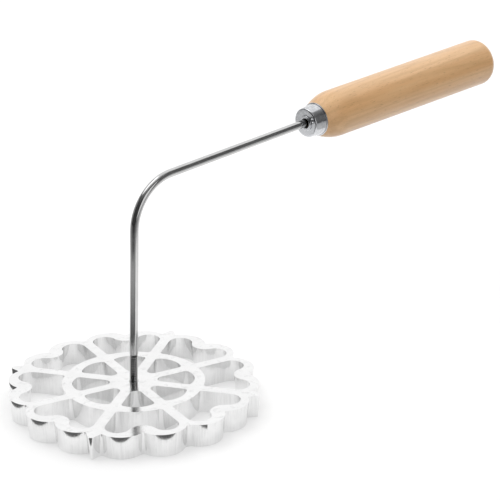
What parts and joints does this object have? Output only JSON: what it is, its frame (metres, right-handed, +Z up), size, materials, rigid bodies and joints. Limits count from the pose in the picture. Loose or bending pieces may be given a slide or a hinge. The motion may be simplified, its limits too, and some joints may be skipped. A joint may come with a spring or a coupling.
{
  "type": "rosette iron",
  "caption": "Rosette iron: a cast aluminium flower mould screwed to a bent steel rod with a ferruled beech handle, for frying crisp batter shells.",
  "frame": {"origin": "centre of the mould's flat underside, below the hub", "axes": "+Z up through the mould, square to its flat faces; +X towards the handle, so that the rod, its bend and the handle lie in the XZ plane; +Y across the handle"},
  "size_m": [0.3767, 0.1432, 0.1623],
  "materials": {
    "cast_aluminium": "bright cast walls, machined top face",
    "steel_wire": "bright drawn wire",
    "plated_steel": "plated, slightly uneven",
    "beech": "turned beech, satin clear coat"
  },
  "bodies": {
    "mould": {"rosette_mould": "cast_aluminium"},
    "handle_assembly": {"bent_rod": "steel_wire", "ferrule": "plated_steel", "wooden_handle": "beech"}
  },
  "joints": [
    {"name": "mould_thread", "type": "hinge", "parent": "mould", "child": "handle_assembly", "pos_m": [0, 0, 0.0138], "axis": [0.0366, 0, 0.9993], "range_deg": [0, 3420]}
  ]
}
